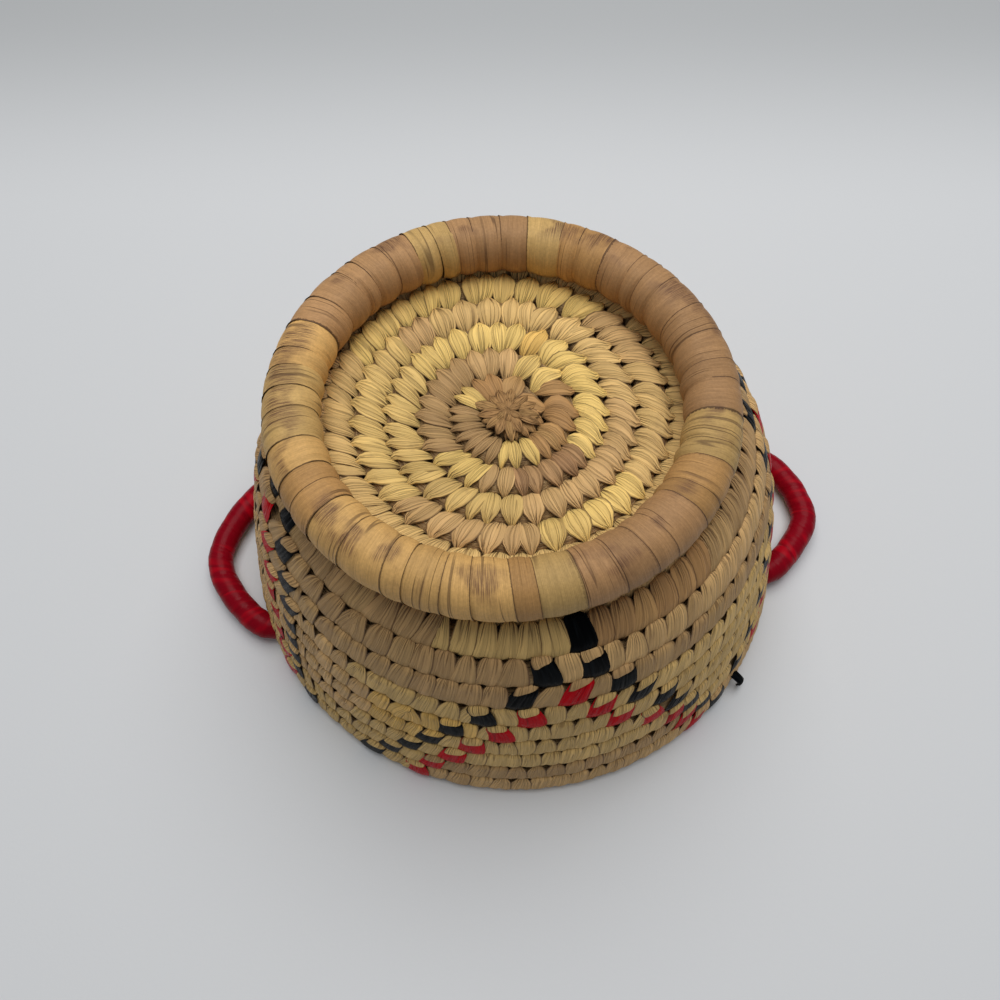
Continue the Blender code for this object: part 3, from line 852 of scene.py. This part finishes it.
def stitch_plan(sizes):
    """Every stitch along the coil with its width, in the order of sewing.

    Each is sewn into a gap between two stitches of the row before, so the rows interlock,
    and a stitch is added where they spread too far. The coloured ones have places of their own.
    """
    cells = coloured_cells()
    sewn = []
    turns = FIRST_TURN
    while turns < LAST_TURN - SEWN_TO_THE_END:
        whole = row_length(turns)
        usual = usual_width(turns, sizes)
        step = usual / whole * draw(STEP_SCATTER)
        target = turns + step
        lean, tail = leans_at(target)
        hole = gap_near(sewn, target - 1 + lean / whole)
        if hole is not None:
            pull = hole + 1 - lean / whole - target
            if abs(pull) < PULL_REACH * step:
                target += PULL * pull
        colour = first = None
        if cells and cells[0][0] - turns < ROOM_TO_SHARE * step:
            left = max(1, round((cells[0][0] - turns) / step))
            target = turns + (cells[0][0] - turns) / left
            if left == 1:
                target, colour, first = cells.pop(0)
        elif hole is not None and sewn[-1].first:
            target = max(target, turns + LEAST_STEP_AFTER_FIRST * step)
        if hole is not None:
            hole = gap_near(sewn, target - 1 + lean / whole)
            free = LEAN_FREEDOM * usual
            lean = min(max((hole + 1 - target) * whole, lean - free), lean + free)
        sewn.append(Stitch(target, lean, tail, colour, first, target - tail / whole))
        turns = target
    return [(stitch, (after.turns - before.turns) / 2 * row_length(stitch.turns))
            for before, stitch, after in zip(sewn, sewn[1:], sewn[2:])]


def gap_near(sewn, turns):
    """The gap between the outer points of two stitches sewn before that is nearest."""
    best = None
    for stitch, after in zip(sewn[-2::-1], sewn[:0:-1]):
        gap = (stitch.point + after.point) / 2
        if best is None or abs(gap - turns) < abs(best - turns):
            best = gap
        if gap < turns - GAP_SEARCH:
            break
    return best if best is not None and abs(best - turns) < GAP_REACH else None


def leans_at(turns):
    """How far a stitch's tucked end leads its middle along the coil, and its outer end lags."""
    table = BASE_LEANS if turns < BASE_TURNS else WALL_LEANS
    lean = value_at(table, azimuth_at(turns)) * min(1.0, turns / FULL_LEAN_TURNS) / 1000
    return [lean + draw(LEAN_SCATTER) for end in ("tucked", "outer")]


def lot_in_use(lots, place):
    """Colour of the lot in use at a turn or azimuth: the one whose stretch ends next."""
    return np.array(min((end, colour) for colour, ends in lots.values() for end in ends if end > place)[1])


def lot_at(turns):
    """Colour of the strip that was being sewn at some turn, a little different each time, and painted
    lighter at some azimuths as painted light.
    """
    shade = lot_in_use(STRIP_LOTS, turns)
    other = np.array(STRIP_LOTS[chance.choice(OTHER_LOTS)][0])
    shade = shade + (other - shade) * draw(OTHER_SHARES)
    # Painted light: the colour is raised by a factor that follows the azimuth
    return shade * STRIP_CAST * value_at(STRIP_AZIMUTH_LIGHT, azimuth_at(turns)) * draw(STRIP_SHADES)


def leaf_at(azimuth, usual):
    """Colour of the leaf on the ring at an azimuth, a little different each time, and painted lighter at
    some azimuths as painted light.
    """
    shade = lot_in_use(LEAF_LOTS, azimuth) * usual / np.array(TAN_LEAF)
    # Painted light by azimuth
    return shade * value_at(LEAF_AZIMUTH_LIGHT, azimuth) * draw(LEAF_SHADES)


WIDTH = {"min": 0.003, "max": 0.012, "unit": "LENGTH", "subtype": "DISTANCE"}
COLOUR = {"min": 0.0, "max": 1.0, "subtype": "COLOR"}


class BasketSizes(bpy.types.PropertyGroup):
    base_stitch: bpy.props.FloatProperty(
        name="Base stitch", description="Width of a sewing strip on the base", default=0.0063, **WIDTH)
    wall_stitch: bpy.props.FloatProperty(
        name="Wall stitch", description="Width of a sewing strip on the wall", default=0.0054, **WIDTH)
    coloured_stitch: bpy.props.FloatProperty(
        name="Coloured stitch", description="Width of a black or red strip", default=0.0068, **WIDTH)
    overlap: bpy.props.FloatProperty(
        name="Overlap", description="How far each strip lies over its neighbour, as a share of its width",
        default=0.08, min=0.0, max=0.3, subtype="FACTOR")
    ring_wraps: bpy.props.IntProperty(
        name="Ring wraps", description="Leaf bands wound round the foot ring", default=45, min=20, max=80)
    ribbon_wraps: bpy.props.IntProperty(
        name="Ribbon wraps", description="Turns of ribbon on each handle", default=7, min=4, max=20)


class BasketColours(bpy.types.PropertyGroup):
    black: bpy.props.FloatVectorProperty(
        name="Black strip", description="Colour of the dark zigzag", default=(0.0012, 0.0015, 0.0018),
        **COLOUR)
    red: bpy.props.FloatVectorProperty(
        name="Red strip", description="Colour of the red zigzag", default=(0.46, 0.002, 0.007), **COLOUR)
    ribbon: bpy.props.FloatVectorProperty(
        name="Handle ribbon", description="Colour of the ribbon on the handles",
        default=(0.222, 0.0012, 0.008), **COLOUR)
    ring_leaf: bpy.props.FloatVectorProperty(
        name="Ring leaf", description="Usual colour of the leaf round the foot ring",
        default=TAN_LEAF, **COLOUR)


def lay_bundle(flat):
    """Where the points of a flat strip go when it is rolled to the bundle of the coil."""
    turns = FIRST_TURN + (flat[:, 1] + 0.5) * BUNDLE_TURNS
    angle = 2 * np.pi * flat[:, 0]
    lumps = 1 + sum(share * np.sin(angle * waves + turns * ripples)
                    for share, waves, ripples in BUNDLE_LUMPS)
    thickness = BUNDLE_FULLNESS * bundle_radius(turns) * lumps
    aside, above = (np.sign(side) * np.abs(side) ** BUNDLE_ROUNDNESS
                    for side in (np.sin(angle), -np.cos(angle)))
    places = beside_coil(turns, aside * BUNDLE_BREADTH * thickness, above * thickness)
    return keep_above(places, BUNDLE_FLOOR_GAP)


class BASKET_OT_foundation(bpy.types.Operator):
    """Roll the long bundle of stems that the basket is coiled from"""
    bl_idname = "basket.foundation"
    bl_label = "Foundation bundle"

    def execute(self, context):
        steps = int(BUNDLE_TURNS * BUNDLE_POINTS_A_TURN)
        tube = closed_tube("foundation_bundle", TUBE_SIDES, steps, lay_bundle)
        join_as("foundation_bundle", [tube], coil_material(), ("foundation_coil",))
        return {"FINISHED"}


class BASKET_OT_stitches(bpy.types.Operator):
    """Sew the coil: natural stitches, the black and red zigzags and the ends that cover them"""
    bl_idname = "basket.stitches"
    bl_label = "Sewing strips"

    def execute(self, context):
        base = [model_stitch("base_stitch_pattern", *kind) for kind in BASE_KINDS]
        wall = [model_stitch("wall_stitch_pattern", *kind) for kind in WALL_KINDS]
        tongue = model_tongue()
        petal = model_stitch("petal_pattern", PETAL_SHARES)
        sewn = {group: [] for group in ("base", "upper", "lower", "black", "red", "tongue")}
        self.sew_rows(context.scene.basket_sizes, base, wall, tongue, sewn)
        self.sew_knot(petal, sewn["base"])
        self.finish_pieces(context.scene.basket_colours, sewn)
        for pattern in (*base, *wall, tongue, petal):
            bpy.data.objects.remove(pattern)
        return {"FINISHED"}

    def sew_rows(self, sizes, base, wall, tongue, sewn):
        """A stitch for each place of the plan, and a beige end over most of the coloured ones."""
        short = points_of(tongue)
        for number, (stitch, width) in enumerate(stitch_plan(sizes)):
            turns = stitch.turns
            colour = stitch.colour
            group = colour or ("base" if turns < BASE_TURNS else "upper" if turns < UPPER_TURNS else "lower")
            kinds, path = (base, BASE_PATH) if group == "base" else (wall, WALL_PATH)
            broad = width * (1 + sizes.overlap) * draw(BREADTHS)
            tilt = draw(TILTS)
            lift = draw(LIFTS)
            if colour:
                broad = sizes.coloured_stitch * draw(COLOURED_BREADTHS)
                lift += COLOURED_LIFT
            pattern = kinds[0] if colour else chance.choice(kinds)
            skew = 0.0 if colour else draw(SKEWS)
            places = lay_stitch(points_of(pattern), path, stitch, broad, tilt, lift, 1.0, skew)
            sewn[group].append(copy_strip(pattern, places, "stitch", number, lot_at(turns)))
            if colour and not (stitch.first and colour == "black"):
                skew = TONGUE_SKEW + draw(TONGUE_SKEWS)
                places = lay_stitch(short, path, stitch, TONGUE_BREADTH * broad, tilt,
                                    lift + TONGUE_LIFT, draw(TONGUE_LENGTHS), skew)
                sewn["tongue"].append(copy_strip(tongue, places, "tongue", number, lot_at(turns)))

    def sew_knot(self, petal, copies):
        """Two layers of petals over the start of the coil."""
        flat = points_of(petal)
        done = 0
        for count, apart, stray, *ranges in PETAL_LAYERS:
            for index in range(done, done + count):
                angle = index * apart + draw((-stray, stray))
                places = lay_petal(flat, angle, *map(draw, ranges))
                copies.append(copy_strip(petal, places, "petal", index, lot_at(KNOT_TURN)))
            done += count

    def finish_pieces(self, colours, sewn):
        """Join the stitches of each group and give them their surface."""
        natural = natural_strip()
        for name, group in (("base_stitches", "base"), ("upper_wall_stitches", "upper"),
                            ("lower_wall_stitches", "lower"), ("stitch_ends_over_colour", "tongue")):
            join_as(name, sewn[group], natural)
        # Each dyed strip gets its colour and the painted sheen on its folds
        for colour, folds_sheen in (("black", BLACK_SHEEN), ("red", RED_SHEEN)):
            surface = glossy_strip(colour + " strip", tuple(getattr(colours, colour)), folds_sheen, STRIP_GLOSS)
            join_as(colour + "_stitches", sewn[colour], surface,
                    [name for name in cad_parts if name.startswith(colour + "_zigzag_")])


def wind_band(flat, middle, side, length, width, slant, radius, open_angle=0.0,
              bow=0.0, puff=0.0, sink=0.0):
    """Points of a band wound round a tube, whose middle and side are functions of length."""
    around = np.radians(-90 + open_angle / 2 + (360 - open_angle) * (flat[:, 1] + 0.5))
    spots = length + flat[:, 0] * width + slant * flat[:, 1] + bow * (flat[:, 1] ** 2 - BOW_BALANCE)
    swell = np.clip(-np.cos(around), 0.0, 1.0) * (1 - 4 * flat[:, 0] ** 2) * puff
    swell = swell + sink * np.interp(-np.sin(around), (0.6, 1.0), (0.0, 1.0))
    reach = (radius + flat[:, 2] + swell)[:, None]
    across = side(spots) * np.cos(around)[:, None] + RISE * np.sin(around)[:, None]
    return middle(spots) + across * reach


def ring_side(spots):
    """Way out from the middle of the ring at a length along it."""
    return compass(spots / RING_RADIUS)


def ring_middle(spots):
    return RING_OFFSET + ring_side(spots) * RING_RADIUS + RISE * RING_HEIGHT


class BASKET_OT_foot_ring(bpy.types.Operator):
    """Wind flat leaf bands round the foot ring"""
    bl_idname = "basket.foot_ring"
    bl_label = "Foot ring wraps"

    def execute(self, context):
        usual = np.array(context.scene.basket_colours.ring_leaf)
        band = model_band("ring_pattern", RING_GRID, RING_EDGE_LIFT)
        flat = points_of(band)
        shares = [draw(RING_SHARES) for index in range(context.scene.basket_sizes.ring_wraps)]
        whole = 2 * np.pi * RING_RADIUS
        place = 0.0
        copies = []
        for index, share in enumerate(shares):
            width = share * whole / sum(shares)
            middle = place + width / 2
            slant = RING_SLANT + draw(RING_SLANTS)
            puff = RING_PUFF + RING_PUFF_SWING * math.sin(middle / RING_RADIUS)
            size = RING_SIZE + draw(RING_SIZES)
            places = wind_band(flat, ring_middle, ring_side, middle, RING_OVERLAP * width, slant, size,
                               RING_OPEN_ANGLE, draw(RING_BOWS), puff, RING_SINK)
            over = places[:, 2] - (FOOT_TOP - FOOT_WEAR)
            places[:, 2] -= np.maximum(0.0, over) * FOOT_FLATTENING
            colour = leaf_at(math.degrees(middle / RING_RADIUS), usual)
            copies.append(copy_strip(band, places, "leaf", index, colour))
            place += width
        bpy.data.objects.remove(band)
        join_as("ring_leaf_wraps", copies, ring_leaf(), ("foot_ring_wrap",))
        return {"FINISHED"}


def rim_reach(azimuth):
    """How far the rim turn's middle stands out, at most, behind a handle's end."""
    first = TURNS - 0.5
    turns = first + ((azimuth - START_AZIMUTH) / 360 - first) % 1.0
    width = HANDLE_RADIUS / (math.pi * RIM_REACH_RADIUS)
    spots = coil_frame(turns + width * np.linspace(-0.5, 0.5, 9))[0]
    return float(np.max(spots @ compass(math.radians(azimuth))))


def handle_route(side, count=120):
    """Points of one loop: it leaves the rim squarely, bends at its middle and comes back."""
    middle, half = HANDLE_PLACES[side]
    first_sharpness, last_sharpness, furthest, last_spread = HANDLE_BENDS[side]
    first = rim_reach(middle + half)
    last = rim_reach(middle - half * last_spread)
    share = np.linspace(0.0, 1.0, count)
    spread = np.cos(np.pi * share)
    arc = np.sin(np.pi * share).clip(0.0) ** HANDLE_POINTEDNESS
    corner = math.hypot(1.0, BEND_BLUNTNESS)
    bent = (corner - np.hypot(spread, BEND_BLUNTNESS)) / (corner - BEND_BLUNTNESS)
    sharpness = np.interp(spread, (-BEND_CHANGE, BEND_CHANGE), (last_sharpness, first_sharpness))
    away = furthest * (arc + (bent - arc) * sharpness)
    angle = np.radians(middle + half * np.maximum(spread, spread * last_spread))
    reach = first + (last - first) * share + COIL_RADIUS + HANDLE_SEAT_GAP
    reach = reach + (HANDLE_REACH - HANDLE_RADIUS) * away
    return compass(angle) * reach[:, None] + RISE * (HANDLE_RADIUS + HANDLE_FLOOR_GAP)


def follow(route):
    """Functions for the middle and the side of a bent bundle at a length along it, and its length."""
    steps = np.linalg.norm(np.diff(route, axis=0), axis=1)
    lengths = np.concatenate(((0.0,), np.cumsum(steps)))
    ways = np.gradient(route, axis=0)
    ways /= np.linalg.norm(ways, axis=1)[:, None]
    sides = np.cross(ways, RISE)

    def read(spots, rows):
        return np.stack([np.interp(spots, lengths, row) for row in rows.T], -1)

    def middle(spots):
        inside = np.clip(spots, 0.0, lengths[-1])
        return read(inside, route) + read(spots, ways) * (spots - inside)[:, None]

    def side(spots):
        return read(spots, sides)

    return middle, side, float(lengths[-1])


class BASKET_OT_handles(bpy.types.Operator):
    """Bend a bundle of stems for each handle and wind ribbon round it"""
    bl_idname = "basket.handles"
    bl_label = "Handles"

    def execute(self, context):
        ribbon = tuple(context.scene.basket_colours.ribbon)
        # Red ribbon with painted sheen on its folds
        surface = glossy_strip("red ribbon", ribbon, RIBBON_SHEEN, RIBBON_GLOSS, 0.15)
        wraps = context.scene.basket_sizes.ribbon_wraps
        for name in HANDLE_PLACES:
            middle, side, whole = follow(handle_route(name))
            band = model_band("ribbon_pattern", RIBBON_GRID, RIBBON_EDGE_LIFT)
            flat = points_of(band)
            pitch = whole / wraps
            copies = []
            for index in range(wraps):
                length = (index + 0.5) * pitch + draw(RIBBON_STRAYS)
                size = RIBBON_SIZE + draw(RIBBON_SIZES)
                slant = pitch * draw(RIBBON_SLANTS)
                places = wind_band(flat, middle, side, length, RIBBON_OVERLAP * pitch, slant, size)
                copies.append(copy_strip(band, keep_above(places, FLOOR_GAP), "ribbon", index, ribbon))
            bpy.data.objects.remove(band)
            join_as(name + "_handle_ribbon", copies, surface, (name + "_handle_wrap",))
            stems = closed_tube(name + "_stems", STEMS_STEPS, TUBE_SIDES, lambda flat: wind_band(
                flat, middle, side, whole / 2, whole, 0.0, STEMS_RADIUS))
            join_as(name + "_handle_stems", [stems], core_material(),
                    (name + "_handle_core",))
        return {"FINISHED"}


class BASKET_OT_loose_end(bpy.types.Operator):
    """Bend the loose end of a black strip off the rim"""
    bl_idname = "basket.loose_end"
    bl_label = "Loose end"

    def execute(self, context):
        black = tuple(context.scene.basket_colours.black)
        low, high = (np.array(corner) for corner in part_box("black_loose_end"))
        strip = flat_strip("loose_black_end", 3, 9)
        crown(strip, ((0.3, 0.0003),))
        choose(strip)
        flat = points_of(strip)
        share = 0.5 - flat[:, 1]
        wave = 0.0012 * np.sin(share * 5.0)
        curl = 0.0015 * share ** 2 - 0.0004
        bend = 0.0038 * np.clip(1 - 1.8 * share, 0.0, 1.0) ** 1.3
        taper = 1.0 - 0.25 * share
        drift = 0.0008 * share
        places = (low + high) / 2 - RISE * ((share - 0.5) * LOOSE_LENGTH)[:, None]
        places = places + level_places(math.radians(LOOSE_AZIMUTH), wave + curl - bend + flat[:, 2],
                                       flat[:, 0] * LOOSE_WIDTH * taper + drift)
        end = copy_strip(strip, keep_above(places, FLOOR_GAP), "end", 0, black)
        bpy.data.objects.remove(strip)
        choose(end)
        thick = end.modifiers.new("thickness", "SOLIDIFY")
        thick.thickness = LOOSE_THICKNESS
        thick.offset = 0.0
        bpy.ops.object.modifier_apply(modifier=thick.name)
        # Black end with painted sheen on its folds
        surface = glossy_strip("black strip end", black, BLACK_SHEEN, STRIP_GLOSS)
        join_as("loose_black_end", [end], surface, ("black_loose_end",))
        return {"FINISHED"}


class BASKET_OT_cores(bpy.types.Operator):
    """Give the bundle inside the ring its surface"""
    bl_idname = "basket.cores"
    bl_label = "Ring bundle"

    def execute(self, context):
        surface = core_material()
        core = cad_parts["foot_ring_core"]
        if not core.material_slots:
            core.data.materials.append(surface)
        for slot in core.material_slots:
            slot.material = surface
        return {"FINISHED"}


class BASKET_OT_stage(bpy.types.Operator):
    """Lay the floor and set the light and the camera"""
    bl_idname = "basket.stage"
    bl_label = "Floor, light and camera"

    def execute(self, context):
        choose()
        bpy.ops.mesh.primitive_plane_add(size=6.0, location=(0.0, 0.0, -0.0003))
        floor = bpy.context.active_object
        floor.name = "floor"
        bpy.ops.object.transform_apply(location=True)
        floor.data.materials.append(floor_material())
        self.set_light(context.scene)
        camera = bpy.data.cameras.new("photo view")
        camera.lens = 28.8
        camera.sensor_width = 36.0
        camera.clip_start = 0.01
        view = bpy.data.objects.new("camera", camera)
        view.location = (-0.0050, -0.1305, 0.2646)
        view.rotation_euler = (math.radians(28.37), 0.0, 0.0)
        context.scene.collection.objects.link(view)
        context.scene.camera = view
        return {"FINISHED"}

    def set_light(self, scene):
        """A square lamp that faces the basket from above and behind, in a softly lit room."""
        lamp = bpy.data.lights.new("overhead", "AREA")
        lamp.size = 1.1
        lamp.energy = 12.6
        made = bpy.data.objects.new("overhead", lamp)
        made.location = (0.05, 0.32, 1.15)
        x, y, z = made.location
        made.rotation_euler = (math.atan2(math.hypot(x, y), z), 0.0, math.atan2(x, -y))
        scene.collection.objects.link(made)
        world = bpy.data.worlds.new("soft room")
        world.use_nodes = True
        room = world.node_tree.nodes["Background"].inputs
        room["Color"].default_value = (0.93, 0.96, 1.0, 1.0)
        room["Strength"].default_value = 0.252
        scene.world = world
        scene.view_settings.view_transform = "Standard"


STEPS = (BASKET_OT_foundation, BASKET_OT_stitches, BASKET_OT_foot_ring, BASKET_OT_handles,
         BASKET_OT_loose_end, BASKET_OT_cores, BASKET_OT_stage)


class BASKET_PT_panel(bpy.types.Panel):
    """Sizes, colours and steps of the basket"""
    bl_idname = "BASKET_PT_panel"
    bl_label = "Coiled Basket"
    bl_space_type = "VIEW_3D"
    bl_region_type = "UI"
    bl_category = "Basket"

    def draw(self, context):
        for group in (context.scene.basket_sizes, context.scene.basket_colours):
            for name in group.bl_rna.properties.keys():
                if name not in ("rna_type", "name"):
                    self.layout.prop(group, name)
        for step in STEPS:
            self.layout.operator(step.bl_idname)


CLASSES = (BasketSizes, BasketColours, *STEPS, BASKET_PT_panel)


def register():
    for made in CLASSES:
        bpy.utils.register_class(made)
    bpy.types.Scene.basket_sizes = bpy.props.PointerProperty(type=BasketSizes)
    bpy.types.Scene.basket_colours = bpy.props.PointerProperty(type=BasketColours)


def unregister():
    del bpy.types.Scene.basket_colours
    del bpy.types.Scene.basket_sizes
    for made in reversed(CLASSES):
        bpy.utils.unregister_class(made)


def main():
    register()
    bpy.ops.basket.foundation()
    bpy.ops.basket.stitches()
    bpy.ops.basket.foot_ring()
    bpy.ops.basket.handles()
    bpy.ops.basket.loose_end()
    bpy.ops.basket.cores()
    bpy.ops.basket.stage()


if __name__ == "__main__":
    main()
